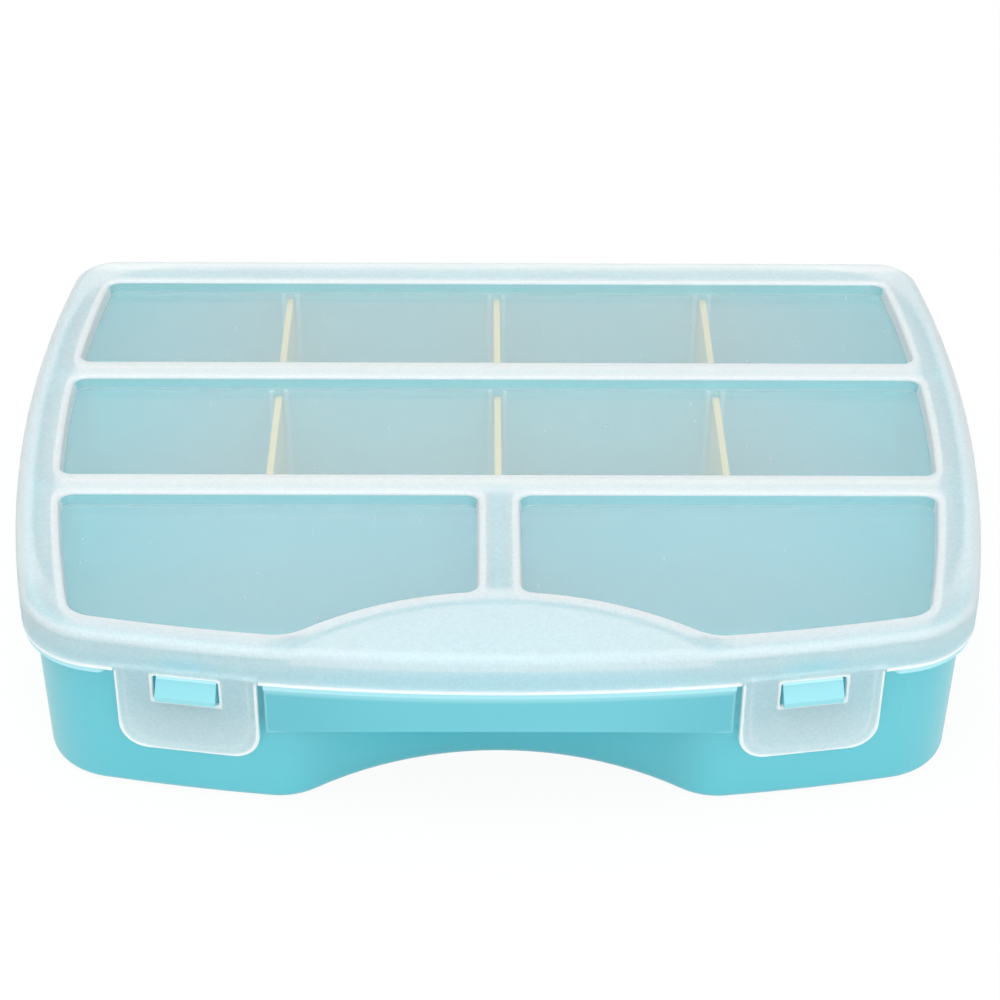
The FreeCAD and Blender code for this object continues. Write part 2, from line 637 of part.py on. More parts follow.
def make_knuckles(body):
    """The two open knuckles under the lid's back edge that clip over the tray's pins."""
    features = []
    eye = new_sketch(body, "knuckle_section", "YZ_Plane", HINGE_X)
    draw_circle(eye, HINGE_Y, HINGE_HEIGHT, "hinge_from_back")
    features.append(extrude(body, "Pad", "knuckle", eye, "knuckle_width", symmetric=True))
    arm = new_sketch(body, "knuckle_arm_section", "YZ_Plane", HINGE_X)
    arm_top = f"box_height - {BACK_SKIRT_HEIGHT} + lid_wall"
    draw_rectangle(arm, f"{BACK} - lid_wall", BACK, HINGE_HEIGHT, arm_top)
    features.append(extrude(body, "Pad", "knuckle_arm", arm, "knuckle_width", symmetric=True))
    bore = new_sketch(body, "knuckle_bore_section", "YZ_Plane", HINGE_X)
    draw_circle(bore, HINGE_Y, HINGE_HEIGHT, "pin_radius + pin_clearance")
    features.append(extrude(body, "Pocket", "knuckle_bore", bore, "knuckle_width + overrun", symmetric=True))
    mouth = new_sketch(body, "knuckle_mouth_section", "YZ_Plane", HINGE_X)
    half_mouth = "knuckle_mouth / 2"
    mouth_low = f"{HINGE_HEIGHT} - hinge_from_back - overrun"
    draw_rectangle(mouth, f"{HINGE_Y} - {half_mouth}", f"{HINGE_Y} + {half_mouth}", mouth_low, HINGE_HEIGHT)
    features.append(extrude(body, "Pocket", "knuckle_gap", mouth, "knuckle_width + overrun", symmetric=True))
    mirror_across(body, "knuckles", features)


def make_lid():
    """The lid: its shell, the cuts in its skirt and the hinge knuckles."""
    body = new_body("lid")
    make_lid_shell(body)
    make_skirt_cuts(body)
    make_knuckles(body)
    return body


def upright_rectangle(width, low, high):
    """The edges of a rectangle about the sketch's upright axis, between two heights."""
    right, left = Edge("along", x=f"{width} / 2"), Edge("along", x=f"-{width} / 2", heading=-1)
    return [Edge("across", y=low), right, Edge("across", y=high, heading=-1), left]


def make_latch(name, side):
    """One latch tab in its own frame: it hangs from its fold at the origin, with its face towards -Y."""
    body = new_body(name)
    plate = new_sketch(body, "plate_face", "XZ_Plane")
    square_top = [("latch_corner", 1, -1), ("0", 1, 1), ("0", -1, 1), ("latch_corner", -1, -1)]
    draw_outline(plate, upright_rectangle("latch_width", "-latch_length", "0"), square_top)
    catch_bottom = "-catch_drop - catch_height"
    catch_edges = upright_rectangle("catch_width", catch_bottom, "-catch_drop")
    draw_outline(plate, catch_edges, even_corners("catch_corner"))
    extrude(body, "Pad", "plate", plate, "lid_wall", symmetric=True)

    def face_edge(box):
        on_a_face = box.YLength < SAME_PLACE and abs(abs(box.YMin) - value("lid_wall / 2")) < SAME_PLACE
        return on_a_face and box.ZMin < -SAME_PLACE

    round_edges(body, "plate_edges", "latch_edge_round", face_edge)
    fold = new_sketch(body, "fold_section", "YZ_Plane")
    draw_circle(fold, "0", "0", "lid_wall / 2")
    extrude(body, "Pad", "fold", fold, "latch_width", symmetric=True)

    body.Placement.Rotation = FreeCAD.Rotation(FreeCAD.Vector(0, 0, 1), side)
    fold_share = "(front_radius - lid_wall / 2) / front_radius"
    body.setExpression("Placement.Rotation.Angle", linked(f"{side} * {LATCH_TURN}"))
    body.setExpression("Placement.Base.x", linked(f"{side} * {LATCH_X} * {fold_share}"))
    fold_y = f"{FRONT} + front_radius - {fold_share} * sqrt(front_radius ^ 2 - {LATCH_X} ^ 2)"
    body.setExpression("Placement.Base.y", linked(fold_y))
    body.setExpression("Placement.Base.z", linked(FOLD_HEIGHT))
    doc.recompute()
    return body


def make_divider(name, column, back, front):
    """One loose divider in its own frame: a plate with tapered ends that stands on the origin."""
    body = new_body(name)
    height = f"({DIVIDER_TOP} - floor_thickness - divider_floor_clearance)"
    half_row = f"(({back}) - ({front})) / 2 - divider_end_clearance"
    half_top = f"({half_row} - ({TRAY_TOP} - {DIVIDER_TOP}) * tan(tray_draft))"
    half_foot = f"({half_top} - {height} * tan(tray_draft))"
    face = new_sketch(body, "divider_face", "YZ_Plane")
    foot_ends = [(f"-{half_foot}", "0"), (half_foot, "0")]
    draw_polygon(face, foot_ends + [(half_top, height), (f"-{half_top}", height)])
    extrude(body, "Pad", "plate", face, "divider_thickness", symmetric=True)

    def across_plate_at(level):
        return lambda box: box.YLength < SAME_PLACE and level_at(level)(box)

    round_edges(body, "foot_corners", "divider_foot_corner", across_plate_at("0"))
    round_edges(body, "top_corners", "divider_top_corner", across_plate_at(height))
    body.setExpression("Placement.Base.x", linked(f"{column} * {DIVIDER_PITCH}"))
    body.setExpression("Placement.Base.y", linked(f"(({back}) + ({front})) / 2"))
    body.setExpression("Placement.Base.z", linked("floor_thickness + divider_floor_clearance"))
    doc.recompute()
    return body


def save(bodies):
    """Checks every object and writes each sub-part to its own file."""
    for item in doc.Objects:
        if "Invalid" in item.State or "Error" in item.State:
            raise ValueError(f"{item.Name} failed: {item.State}")
    os.makedirs("parts", exist_ok=True)
    for body in bodies:
        shape = body.Shape
        if shape.isNull() or not shape.isValid():
            raise ValueError(f"{body.Label} has no valid shape")
        shape.exportStep(f"parts/{body.Label}.step")
        print(f"{body.Label}: {len(shape.Solids)} solid, {shape.Volume / 1000:.2f} cm3")


sub_parts = [make_tray(), make_grip(), make_lid()]
sub_parts += [make_latch("latch_left", -1), make_latch("latch_right", 1)]
for row, span in DIVIDED_ROWS.items():
    for column_name, column in (("left", -1), ("centre", 0), ("right", 1)):
        sub_parts.append(make_divider(f"divider_{row}_{column_name}", column, *span))
save(sub_parts)
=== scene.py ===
"""The compartment storage box as photographed: finishes on its tray, dividers, lid and latch tabs. Sizes and
places are in millimetres, as the box lies closed in its frame."""
import math

import bmesh
import bpy
from mathutils import Matrix, Vector


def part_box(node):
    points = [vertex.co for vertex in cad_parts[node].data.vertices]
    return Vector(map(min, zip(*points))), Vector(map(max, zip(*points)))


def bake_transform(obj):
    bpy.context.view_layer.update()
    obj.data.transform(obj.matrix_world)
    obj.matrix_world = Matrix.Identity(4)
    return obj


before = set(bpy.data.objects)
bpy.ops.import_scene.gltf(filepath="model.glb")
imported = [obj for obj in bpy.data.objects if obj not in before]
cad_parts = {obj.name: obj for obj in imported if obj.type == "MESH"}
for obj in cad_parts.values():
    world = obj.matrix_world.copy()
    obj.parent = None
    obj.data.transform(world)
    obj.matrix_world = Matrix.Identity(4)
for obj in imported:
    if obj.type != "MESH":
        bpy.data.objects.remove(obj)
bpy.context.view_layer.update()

# The tray is one moulding of turquoise polypropylene with a satin skin, a little cloudy where the melt
# flowed, with a fine spark-eroded grain that only shows in the highlights. Its hooks, its lip and the tops of
# its slot ribs have painted highlights, the shaded strip beside each end of the grip has painted light, and
# its floor and partitions have painted light in a lighter tint. The hand recess in its front has painted
# shade: a deeper tint and less sheen, most in its middle.
MM = 0.001


class Socket:
    """One output of a finish's nodes, with arithmetic that adds Math nodes."""

    def __init__(self, finish, output):
        self.finish = finish
        self.output = output

    def math(self, operation, *others):
        """The result of one Math node on this value and others."""
        return self.finish.add("ShaderNodeMath", {"operation": operation}, self, *others)[0]

    def __add__(self, other):
        return self.math("ADD", other)

    def __sub__(self, other):
        return self.math("SUBTRACT", other)

    def __rsub__(self, other):
        return self.finish.add("ShaderNodeMath", {"operation": "SUBTRACT"}, other, self)[0]

    def __mul__(self, other):
        return self.math("MULTIPLY", other)

    def __abs__(self):
        return self.math("ABSOLUTE")

    def capped(self):
        """The value, or 1 where it is more."""
        return self.math("MINIMUM", 1.0)

    __radd__ = __add__
    __rmul__ = __mul__


class Finish:
    """A material with nodes, built one node at a time."""

    def __init__(self, name):
        self.material = bpy.data.materials.new(name)
        self.material.use_nodes = True
        self.tree = self.material.node_tree
        self.tree.nodes.clear()

    def add(self, kind, settings=None, *inputs, **named):
        """A node of a kind: its settings first, then its sockets in order or by name. Gives its outputs."""
        node = self.tree.nodes.new(kind)
        for key, setting in (settings or {}).items():
            setattr(node, key, setting)
        filled = list(zip(node.inputs, inputs))
        filled += [(self.named_input(node, name), content) for name, content in named.items()]
        for socket, content in filled:
            if isinstance(content, Socket):
                self.tree.links.new(content.output, socket)
            else:
                socket.default_value = content
        return [Socket(self, output) for output in node.outputs if output.enabled]

    def named_input(self, node, name):
        """The enabled socket whose name is the word given, with its spaces as underscores."""
        return next(s for s in node.inputs if s.enabled and s.name.replace(" ", "_") == name)

    def output(self, kind, name):
        """One output, by its name, of a node that needs no settings."""
        return next(socket for socket in self.add(kind) if socket.output.name == name)

    def millimetres(self):
        """Places on the piece as it lies in the closed box, in millimetres."""
        place = self.output("ShaderNodeTexCoord", "Object")
        return self.add("ShaderNodeVectorMath", {"operation": "SCALE"}, place, Scale=1 / MM)[0]

    def tilt(self):
        """The three parts of the direction that the surface faces."""
        return self.split(self.output("ShaderNodeTexCoord", "Normal"))

    def split(self, vector):
        """The three parts of a vector."""
        return self.add("ShaderNodeSeparateXYZ", None, vector)

    def mix(self, share, first, second):
        """A colour between two colours."""
        settings = {"data_type": "RGBA"}
        return self.add("ShaderNodeMix", settings, Factor=share, A=first, B=second)[0]

    def noise(self, place, scale, detail=2.0):
        """A value between 0 and 1 that wanders over the surface."""
        return self.add("ShaderNodeTexNoise", None, Vector=place, Scale=scale, Detail=detail)[0]

    def ramp(self, value, limits):
        """0 below the first limit and 1 above the second, with a smooth change from one to the other."""
        settings = {"interpolation_type": "SMOOTHSTEP"}
        low, high = limits
        return self.add("ShaderNodeMapRange", settings, Value=value, From_Min=low, From_Max=high)[0]

    def band(self, value, limits, soft):
        """1 between two limits and 0 outside them, with soft edges."""
        low, high = limits
        return self.ramp(value, (low - soft, low + soft)) * (1 - self.ramp(value, (high - soft, high + soft)))

    def bump(self, height, distance):
        """A normal that follows a height."""
        return self.add("ShaderNodeBump", None, Distance=distance, Height=height)[0]

    def surface(self, shader):
        """The material, finished with a shader on its surface."""
        self.add("ShaderNodeOutputMaterial", None, Surface=shader)
        return self.material


def coat(node, material):
    """Gives a node one material all over."""
    node.data.materials.clear()
    node.data.materials.append(material)


def colour(red, green, blue):
    """A colour as it is seen on a screen, from 0 to 255, as the linear values that a shader takes."""
    shares = [part / 255 for part in (red, green, blue)]
    linear = [((s + 0.055) / 1.055) ** 2.4 if s > 0.04045 else s / 12.92 for s in shares]
    return (*linear, 1.0)


def between(share, low, high):
    """A number between two numbers."""
    return share * (high - low) + low


def distance(first, second):
    """How far a point lies from the origin, from its two parts."""
    return (first * first + second * second).math("SQRT")


def farthest(values, rounding):
    """The largest of several values, with a smooth change from one to the next."""
    largest = values[0]
    for value in values[1:]:
        largest = largest.math("SMOOTH_MAX", value, rounding)
    return largest


PLASTIC_IOR = 1.49
MELT_CLOUDS, MELT_DETAIL = 0.018, 3.0
GRAIN, GRAIN_DETAIL, GRAIN_HEIGHT = 1.6, 1.0, 0.02
SATIN, SHEEN, SHEEN_ROUGHNESS = (0.36, 0.46), (0.7, 1.0), 0.4
# The tint that painted light on the tray and the grip mixes towards.
PAINTED_LIGHT_TINT = colour(176, 228, 236)


def satin_turquoise(finish, place, deep, pale, painted_light, sheen):
    """The tray's plastic, between a deep and a pale tint, paler still where painted_light is more than 0,
    which paints light on it.
    """
    cloud = finish.noise(place, MELT_CLOUDS, MELT_DETAIL)
    grain = finish.noise(place, GRAIN, GRAIN_DETAIL)
    tint = finish.mix(painted_light, finish.mix(cloud, deep, pale), PAINTED_LIGHT_TINT)
    return finish.surface(finish.add(
        "ShaderNodeBsdfPrincipled", None, Base_Color=tint, Roughness=between(cloud, *SATIN), IOR=PLASTIC_IOR,
        Normal=finish.bump(grain, GRAIN_HEIGHT * MM), Coat_Weight=between(cloud, *SHEEN) * sheen,
        Coat_Roughness=SHEEN_ROUGHNESS)[0])


FOLD_X, FOLD_Y, FOLD_TURN = 86.0753, -98.9502, math.radians(8.967)
SIDE_RADIUS, SIDE_CENTRE, SIDE_BACK = 494.0, 349.0, 28.5
FRONT_RADIUS, FRONT_CENTRE, CORNER_BLEND = 553.0, 446.5, 46.0


def along_fold(x, y):
    """How far a point lies from the middle of a latch's fold, along it, on either side of the box."""
    return (abs(x) - FOLD_X) * math.cos(FOLD_TURN) + (y - FOLD_Y) * math.sin(FOLD_TURN)


def beyond_sides(x, y):
    """How far a point lies beyond the bowed sides of the lid."""
    return distance(abs(x) + SIDE_CENTRE, y - SIDE_BACK) - SIDE_RADIUS


def beyond_front(x, y):
    """How far a point lies beyond the bowed front of the lid."""
    return distance(x, y - FRONT_CENTRE) - FRONT_RADIUS


CRISP = 0.2
HOOK_HALF, HOOK_ROOT, HOOK_HEIGHTS, HOOK_SOFT = 9.2, (-2.3, -1.9), (35.0, 46.0), 0.5
LIP_HEIGHTS, LIP_REACH = (43.7, 45.6), (-2.6, -2.0)
HOLLOW_CENTRE, RECESS_WALL, RECESS_SHADE = -169.57, (89.97, 90.77), (10.0, 64.0)
STRIP, STRIP_SOFT, STRIP_REACH = (-1.0, 6.0), 1.0, (-6.0, -5.0)
SLOT_HALF_WIDTH, RIB_WIDTH, RIB_DEPTH, WALL_GAP, RIB_SOFT = 1.6, 1.4, 2.5, 0.6, 0.1
PARTITIONS, PARTITION_SIDES, INNER_REACH = (37.74, -24.35), (-1.5, 1.5), (-18.0, -16.0)
FLOOR_HEIGHTS, FLOOR_LEVEL = (0.8, 6.0), (0.7, 0.9)
HOOK_HIGHLIGHT, LIP_HIGHLIGHT, STRIP_LIGHT = 0.45, 0.8, 0.25
# Each list holds the outside tint, the recess tint, which paints the recess's shade, and the inside tint,
# which is lighter and paints light on the floor and partitions.
DEEP_TINTS = colour(76, 187, 200), colour(4, 187, 205), colour(62, 202, 217)
PALE_TINTS = colour(86, 193, 206), colour(10, 193, 210), colour(72, 208, 223)
tray_finish = Finish("turquoise_tray")
place = tray_finish.millimetres()
x, y, z = tray_finish.split(place)
outer = farthest([beyond_sides(x, y), beyond_front(x, y)], CORNER_BLEND)
ahead = (abs(x) - FOLD_X) * math.sin(FOLD_TURN) - (y - FOLD_Y) * math.cos(FOLD_TURN)
hook_highlights = tray_finish.band(along_fold(x, y), (-HOOK_HALF, HOOK_HALF), CRISP)
hook_highlights = hook_highlights * tray_finish.ramp(ahead, HOOK_ROOT) * tray_finish.band(z, HOOK_HEIGHTS, HOOK_SOFT)
lip_highlight = tray_finish.band(z, LIP_HEIGHTS, CRISP) * tray_finish.ramp(outer, LIP_REACH)
recess = 1 - tray_finish.ramp(distance(x, y - HOLLOW_CENTRE), RECESS_WALL)
recess = recess * (1 - tray_finish.ramp(abs(x), RECESS_SHADE))
grip_low, grip_high = [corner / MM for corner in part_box("grip")]
beside_grip = tray_finish.band(abs(x) - grip_high[0], STRIP, STRIP_SOFT)
beside_grip = beside_grip * tray_finish.band(z, (grip_low[2], grip_high[2]), STRIP_SOFT)
beside_grip = beside_grip * tray_finish.ramp(outer, STRIP_REACH)
slot_rib_highlights = 0.0
for column in ("left", "centre", "right"):
    plates = [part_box(f"divider_{row}_{column}") for row in ("back", "middle")]
    station = sum(corner[0] for corner in plates[0]) / 2 / MM
    beside = tray_finish.band(abs(x - station), (SLOT_HALF_WIDTH, SLOT_HALF_WIDTH + RIB_WIDTH), RIB_SOFT)
    for _, far_corner in plates:
        from_back = y - far_corner[1] / MM
        slot_rib_highlights = beside * tray_finish.band(from_back, (-RIB_DEPTH, WALL_GAP), RIB_SOFT) + slot_rib_highlights
within = 1 - tray_finish.ramp(outer, INNER_REACH)
inside = tray_finish.ramp(tray_finish.tilt()[2], FLOOR_LEVEL) * tray_finish.band(z, FLOOR_HEIGHTS, CRISP)
for partition in PARTITIONS:
    inside = inside + tray_finish.band(y - partition, PARTITION_SIDES, CRISP) * within
inside = inside.capped()
deep, pale = [tray_finish.mix(inside, tray_finish.mix(recess, outside_tint, recess_shade_tint), inside_light_tint)
              for outside_tint, recess_shade_tint, inside_light_tint in (DEEP_TINTS, PALE_TINTS)]
# Painted highlights on the hooks, the lip and the slot ribs' tops, and painted light in the shaded strip
# beside the grip.
painted_light = hook_highlights * HOOK_HIGHLIGHT + lip_highlight * LIP_HIGHLIGHT + beside_grip * STRIP_LIGHT + slot_rib_highlights
# Less sheen in the recess is part of its painted shade.
coat(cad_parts["tray"], satin_turquoise(tray_finish, place, deep, pale, painted_light, 1 - recess))

# The grip is the bowed panel in front of the hand recess, moulded in one with the tray, of the same plastic.
# It has a painted highlight across its middle and is darker towards its ends, and its top, its ends and its
# lower edge have painted highlights.
GRIP_TOP, GRIP_TOP_HIGHLIGHT = (-2.0, -0.2), 0.4
ARRIS, ARRIS_HIGHLIGHT = (0.5, 1.0), 0.25
MIDDLE_HIGHLIGHT_REACH = (20.0, 66.0)
MIDDLE_HIGHLIGHT_TINTS = colour(86, 186, 199), colour(96, 193, 205)
GRIP_TINTS = colour(76, 176, 191), colour(84, 183, 197)
grip_finish = Finish("turquoise_grip")
place = grip_finish.millimetres()
x, _, z = grip_finish.split(place)
# Painted highlights along the top, and along the ends and the lower edge.
top_highlight = grip_finish.ramp(z - grip_high[2], GRIP_TOP)
arris_highlights = 1 - grip_finish.ramp((grip_high[0] - abs(x)).math("MINIMUM", z - grip_low[2]), ARRIS)
painted_light = (top_highlight * GRIP_TOP_HIGHLIGHT).math("MAXIMUM", arris_highlights * ARRIS_HIGHLIGHT)
# A painted highlight across the middle, fading towards the ends.
beyond_middle_highlight = grip_finish.ramp(abs(x), MIDDLE_HIGHLIGHT_REACH)
deep, pale = [grip_finish.mix(beyond_middle_highlight, *tints) for tints in zip(MIDDLE_HIGHLIGHT_TINTS, GRIP_TINTS)]
coat(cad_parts["grip"], satin_turquoise(grip_finish, place, deep, pale, painted_light, 1.0))

# The dividers are six thin plates of cream plastic, smooth and a little waxy. They are moulded flat, slide
# down between the tray's slot ribs and are kept there by the closed lid.
WAX_CLOUDS, WAX, CREAM_IOR = 0.04, (0.35, 0.45), 1.5
CREAMS = colour(254, 202, 120), colour(255, 210, 134)
divider_finish = Finish("cream_dividers")
cloud = divider_finish.noise(divider_finish.millimetres(), WAX_CLOUDS)
cream = divider_finish.surface(divider_finish.add(
    "ShaderNodeBsdfPrincipled", None, Base_Color=divider_finish.mix(cloud, *CREAMS),
    Roughness=between(cloud, *WAX), IOR=CREAM_IOR)[0])
for name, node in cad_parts.items():
    if name.startswith("divider"):
        coat(node, cream)

# The lid is one moulding of natural polypropylene that clips on the tray's hinge pins. It is frosted by the
# mould's pebble grain and clearer where the mould is polished. Its finish paints light on it: it is almost
# white where highlights and glows are painted, whiter still in its cut edges, and turquoise where the tray
# behind it is painted through.
PEBBLES, PEBBLE_STEP, PEBBLE_HEIGHT = 1.3, (0.3, 0.7), 0.08
HAZE_CLOUDS = 0.03
FROSTS, FROST_TINT = (colour(214, 234, 238), colour(228, 243, 246)), colour(150, 238, 250)
HAZES, HAZE_TINT = (colour(229, 246, 249), colour(236, 248, 250)), colour(180, 250, 254)
WHITES, CUT_WHITE = (colour(234, 239, 240), colour(241, 245, 246)), colour(247, 250, 250)
FROST_ROUGHNESS, POLISHED_ROUGHNESS, WHITE_ROUGHNESS = (0.42, 0.62), (0.1, 0.15), (0.4, 0.5)
FROST_CLEARNESS, POLISHED_CLEARNESS, WHITE_CLEARNESS, SHADOW_CLEARNESS = 0.66, 0.74, 0.35, 0.95


def see_through(finish, tint, roughness, clearness, **skin):
    """Plastic that lets a share of the light through."""
    return finish.add(
        "ShaderNodeBsdfPrincipled", None, Base_Color=tint, Roughness=roughness, IOR=PLASTIC_IOR,
        Transmission_Weight=clearness, **skin)[0]


def natural_plastic(finish, place, whitening, polished, painted_turquoise, cut):
    """The lid's plastic: frosted, clearer where polished is 1, almost white where whitening is 1, which
    paints light and dust, whiter still where cut is 1 for the painted glow in cut edges, and coloured with
    painted turquoise of the tray behind it where painted_turquoise is 1."""
    grain = finish.noise(place, PEBBLES, GRAIN_DETAIL)
    cloud = finish.noise(place, HAZE_CLOUDS)
    pebbles = finish.ramp(grain, PEBBLE_STEP)
    skin = finish.bump(grain, PEBBLE_HEIGHT * MM)
    # The frost and the haze take painted turquoise of the tray behind them; the whitened plastic is for
    # painted light and dust.
    frost = finish.mix(painted_turquoise, finish.mix(pebbles, *FROSTS), FROST_TINT)
    haze = finish.mix(painted_turquoise, finish.mix(cloud, *HAZES), HAZE_TINT)
    white = finish.mix(cut, finish.mix(pebbles, *WHITES), CUT_WHITE)
    frosted = see_through(finish, frost, between(grain, *FROST_ROUGHNESS), FROST_CLEARNESS, Normal=skin)
    clear = see_through(finish, haze, between(cloud, *POLISHED_ROUGHNESS), POLISHED_CLEARNESS)
    whitened_plastic = see_through(finish, white, between(grain, *WHITE_ROUGHNESS), WHITE_CLEARNESS, Normal=skin)
    plastic = finish.add("ShaderNodeMixShader", None, polished, frosted, clear)[0]
    plastic = finish.add("ShaderNodeMixShader", None, whitening, plastic, whitened_plastic)[0]
    shadow = finish.output("ShaderNodeLightPath", "Is Shadow Ray") * SHADOW_CLEARNESS
    through = finish.add("ShaderNodeBsdfTransparent")[0]
    return finish.surface(finish.add("ShaderNodeMixShader", None, shadow, plastic, through)[0])


WINDOW_ROWS = ((42.24, 91.5), (-19.5, 33.24))
WINDOW_SIDE, WINDOW_FRONT, WINDOW_MIDDLE, FRONT_ROW_BACK, WINDOW_CORNER = 12.5, 7.7, 5.9, -29.2, 8.0
HOLLOW_RADIUS, LID_BACK = 93.67, 106.5
lid_finish = Finish("natural_lid")
place = lid_finish.millimetres()
x, y, z = lid_finish.split(place)
tilt_x, tilt_y, tilt_z = lid_finish.tilt()
from_side = beyond_sides(x, y) + WINDOW_SIDE
from_front = beyond_front(x, y) + WINDOW_FRONT
from_hollow = HOLLOW_RADIUS - distance(x, y - HOLLOW_CENTRE)
rows = [farthest([from_side, near - y, y - far], WINDOW_CORNER) for near, far in WINDOW_ROWS]
front_row = farthest(
    [from_side, from_front, from_hollow, WINDOW_MIDDLE - abs(x), y - FRONT_ROW_BACK], WINDOW_CORNER)
outside = rows[0].math("MINIMUM", rows[1]).math("MINIMUM", front_row)

# The windows are sunk tubs in the lid, polished in the mould: level panels with a little dust on them and
# painted turquoise of the tray towards the sides and the front, far walls with painted turquoise of the tray
# behind them and a painted highlight along their feet, clear side walls with painted turquoise, and near
# walls painted white with light.
PANEL_LEVEL, PANEL_HEIGHTS = (0.8, 0.95), (51.5, 54.0)
FAR_WALL, FAR_WALL_LEAN, FAR_WALL_HEIGHTS = (-4.5, 2.2), (0.2, 0.5), (52.0, 57.2)
FOOT_HEIGHTS, FOOT_SOFT = (53.6, 54.1), 0.15
SIDE_WALL_LEAN, SIDE_WALL_EDGE = (0.3, 0.6), (-0.5, 0.5)
SIDE_WALL_HEIGHTS, SIDE_WALL_SOFT = (52.0, 57.0), 0.3
NEAR_WALL, HOLLOW_WALL, NEAR_WALL_SOFT = (-1.0, 5.0), (-1.0, 3.6), 1.0
NEXT_WALL, ACROSS = (-1.0, 1.0), (-1.0, 2.0)
DUST_CELLS, SPECK_SIZE, SPECK_CHANCE = 0.06, (0.012, 0.024), (0.55, 0.57)
across = 1 - lid_finish.ramp(from_side, ACROSS)
panels = lid_finish.ramp(abs(tilt_z), PANEL_LEVEL) * lid_finish.band(z, PANEL_HEIGHTS, CRISP)
far_edges = [FRONT_ROW_BACK] + [far for _, far in WINDOW_ROWS]
far_walls = sum(lid_finish.band(y - edge, FAR_WALL, CRISP) for edge in far_edges)
far_walls = far_walls * lid_finish.ramp(abs(tilt_y), FAR_WALL_LEAN)
far_walls = far_walls * lid_finish.band(z, FAR_WALL_HEIGHTS, CRISP)
feet = far_walls * lid_finish.band(z, FOOT_HEIGHTS, FOOT_SOFT)
side_walls = lid_finish.ramp(abs(tilt_x), SIDE_WALL_LEAN) * (1 - lid_finish.ramp(outside, SIDE_WALL_EDGE))
side_walls = side_walls * lid_finish.band(z, SIDE_WALL_HEIGHTS, SIDE_WALL_SOFT)
front_wall = lid_finish.band(from_front, NEAR_WALL, NEAR_WALL_SOFT)
front_wall = front_wall * (1 - lid_finish.ramp(from_hollow, NEXT_WALL))
row_walls = sum(lid_finish.band(near - y, NEAR_WALL, NEAR_WALL_SOFT) for near, _ in WINDOW_ROWS)
near_walls = (front_wall + row_walls) * across
hollow_wall = lid_finish.band(from_hollow, HOLLOW_WALL, NEAR_WALL_SOFT)
hollow_wall = hollow_wall * (1 - lid_finish.ramp(from_front, NEXT_WALL))
cells = lid_finish.add("ShaderNodeTexVoronoi", {"voronoi_dimensions": "2D"}, Vector=place, Scale=DUST_CELLS)
specks = 1 - lid_finish.ramp(cells[0], SPECK_SIZE)
dust = specks * lid_finish.ramp(lid_finish.split(cells[1])[0], SPECK_CHANCE) * panels

# The frame round the windows is the lid's raised top. It is frosted, with a painted highlight along the edge
# of each window and a painted glow beside it, ribs between the windows painted whiter, an apron over the hand
# recess painted pale with light and turquoise from the tray's lip below, a painted highlight on the rounding
# along its outer rim and its back, and a grainy, less white line beside the front windows.
FRAME_STEP, WINDOW_EDGE, WINDOW_EDGE_SOFT, GLOW_REACH = (53.5, 53.9), (-1.2, 1.9), 0.7, (1.0, 9.0)
WINDOW_RIBS = (WINDOW_ROWS[1][1], WINDOW_ROWS[0][0]), (FRONT_ROW_BACK, WINDOW_ROWS[1][0])
WINDOW_RIB_SOFT = 1.0
FRONT_REACH = (-84.0, -70.0)
ROUNDING_HEIGHTS, ROUNDING_LEAN, ROUNDING_SOFT = (52.5, 54.5), (0.2, 0.85), 0.12
APRON_REACH, APRON_EDGE = (-78.0, -74.0), (5.0, 7.0)
OUTER_RIM, OUTER_RIM_FADE, BACK_RIM = (-6.0, -4.0), (-90.0, -60.0), (-9.0, -6.0)
SPECKLES, SPECKLE_STEP = 2.0, (0.35, 0.65)
GRAINY_LINE, GRAINY_SOFT, GRAINY_REACH = (2.8, 5.4), 1.0, (-66.0, -56.0)
frame_top = lid_finish.ramp(z, FRAME_STEP)
edges = lid_finish.band(outside, WINDOW_EDGE, WINDOW_EDGE_SOFT)
glow = 1 - lid_finish.ramp(outside, GLOW_REACH)
ribs = sum(lid_finish.band(y, rib, WINDOW_RIB_SOFT) for rib in WINDOW_RIBS) * across
at_front = 1 - lid_finish.ramp(y, FRONT_REACH)
rounding = lid_finish.ramp(z, ROUNDING_HEIGHTS) * lid_finish.band(tilt_z, ROUNDING_LEAN, ROUNDING_SOFT)
apron = (1 - lid_finish.ramp(y, APRON_REACH)) * lid_finish.ramp(from_hollow, APRON_EDGE) * (1 - rounding)
from_outline = farthest([beyond_sides(x, y), beyond_front(x, y), y - LID_BACK], CORNER_BLEND)
outer_rim = lid_finish.ramp(from_outline, OUTER_RIM) * lid_finish.ramp(y, OUTER_RIM_FADE)
back_rim = lid_finish.ramp(y - LID_BACK, BACK_RIM)
speckle = lid_finish.ramp(lid_finish.noise(place, SPECKLES, GRAIN_DETAIL), SPECKLE_STEP)
grainy = lid_finish.band(outside, GRAINY_LINE, GRAINY_SOFT) * (1 - lid_finish.ramp(y, GRAINY_REACH))
grainy = grainy * (1 - ribs) * speckle

